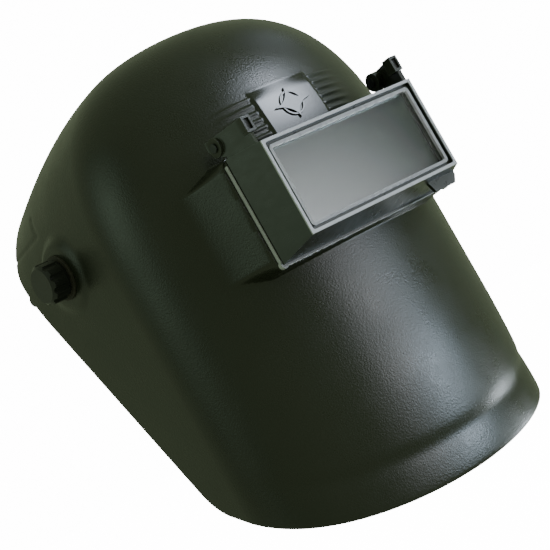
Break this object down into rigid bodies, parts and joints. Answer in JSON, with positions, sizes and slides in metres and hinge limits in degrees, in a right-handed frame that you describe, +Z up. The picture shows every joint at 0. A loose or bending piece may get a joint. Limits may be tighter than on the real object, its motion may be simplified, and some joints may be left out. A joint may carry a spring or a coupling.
{
  "type": "welding helmet",
  "caption": "Welding helmet: full-face moulded shell that tilts on side knobs of an adjustable headgear, with a rectangular filter holder lifting on a brow hinge.",
  "frame": {"origin": "middle of the side-pivot line, between the wearer's temples", "axes": "+Z up, the wearer looks along -Y, +X to the wearer's left"},
  "size_m": [0.253, 0.2664, 0.306],
  "materials": {
    "shell_plastic": "fine leather grain, satin",
    "housing_plastic": "smooth satin gloss",
    "bezel_plastic": "smooth gloss",
    "black_screw": "black oxide",
    "clear_lens": "polished clear",
    "filter_glass": "polished, very dark",
    "spring_steel": "bright drawn wire and sheet",
    "pin_steel": "dark satin",
    "bolt_steel": "zinc-plated",
    "fibre": "pressed fibre",
    "rubber": "matt",
    "knob_plastic": "satin moulded",
    "brass": "turned",
    "plate_plastic": "satin moulded",
    "headgear_plastic": "satin moulded",
    "peg_plastic": "glossy moulded",
    "strap_plastic": "pale grey satin",
    "sweatband_cloth": "brushed cloth over foam"
  },
  "bodies": {
    "headgear": {"headband": "headgear_plastic", "band_pegs": "peg_plastic", "sweatband": "sweatband_cloth", "crown_strap_left": "strap_plastic", "crown_strap_right": "strap_plastic", "crown_pegs": "peg_plastic", "rear_strap": "strap_plastic", "strap_pegs": "peg_plastic", "side_arm_left": "headgear_plastic", "side_arm_right": "headgear_plastic", "stop_plate_left": "plate_plastic", "stop_plate_right": "plate_plastic", "pivot_bolts": "bolt_steel", "ratchet_housing": "plate_plastic", "ratchet_cover": "plate_plastic", "ratchet_spring": "spring_steel", "rear_pad": "sweatband_cloth"},
    "shell_body": {"shell": "shell_plastic", "lens_housing": "housing_plastic", "housing_screws": "black_screw", "inner_lens": "clear_lens", "inner_lens_clip": "spring_steel", "hinge_pins": "pin_steel", "hinge_washers": "fibre", "friction_washers": "fibre"},
    "front_body": {"lift_front": "housing_plastic", "window_bezel": "bezel_plastic", "cover_lens": "clear_lens", "lens_gasket": "rubber", "filter_lens": "filter_glass", "filter_clip": "spring_steel", "ear_buffers": "rubber"},
    "knob_body_left": {"pivot_knob_left": "knob_plastic", "knob_nut_left": "brass"},
    "knob_body_right": {"pivot_knob_right": "knob_plastic", "knob_nut_right": "brass"},
    "ratchet_body": {"ratchet_knob": "knob_plastic", "ratchet_pinion": "bolt_steel", "ratchet_screw": "bolt_steel"},
    "tail_body_left": {"band_tail_left": "headgear_plastic"},
    "tail_body_right": {"band_tail_right": "headgear_plastic"}
  },
  "joints": [
    {"name": "shell_tilt", "type": "hinge", "parent": "headgear", "child": "shell_body", "pos_m": [0, 0, 0], "axis": [-1, 0, 0], "range_deg": [0, 62]},
    {"name": "front_lift", "type": "hinge", "parent": "shell_body", "child": "front_body", "pos_m": [0, -0.131, 0.01], "axis": [-1, 0, 0], "range_deg": [0, 105]},
    {"name": "pivot_knob_turn_left", "type": "hinge", "parent": "headgear", "child": "knob_body_left", "pos_m": [0.12, 0, 0], "axis": [1, 0, 0], "continuous": true},
    {"name": "pivot_knob_turn_right", "type": "hinge", "parent": "headgear", "child": "knob_body_right", "pos_m": [-0.12, 0, 0], "axis": [-1, 0, 0], "continuous": true},
    {"name": "ratchet_turn", "type": "hinge", "parent": "headgear", "child": "ratchet_body", "pos_m": [0, 0.10131, -0.04326], "axis": [0, 0.9397, -0.342], "range_deg": [0, 115]},
    {"name": "tail_slide_left", "type": "hinge", "parent": "headgear", "child": "tail_body_left", "pos_m": [0, 0.0111, -0.01043], "axis": [0, 0.342, 0.9397], "range_deg": [-7.2, 0]},
    {"name": "tail_slide_right", "type": "hinge", "parent": "headgear", "child": "tail_body_right", "pos_m": [0, 0.0111, -0.01043], "axis": [0, 0.342, 0.9397], "range_deg": [0, 7.2]}
  ],
  "couplings": [
    {"joint": "tail_slide_left", "follows": "ratchet_turn", "ratio": -0.06076},
    {"joint": "tail_slide_right", "follows": "ratchet_turn", "ratio": 0.059259}
  ]
}
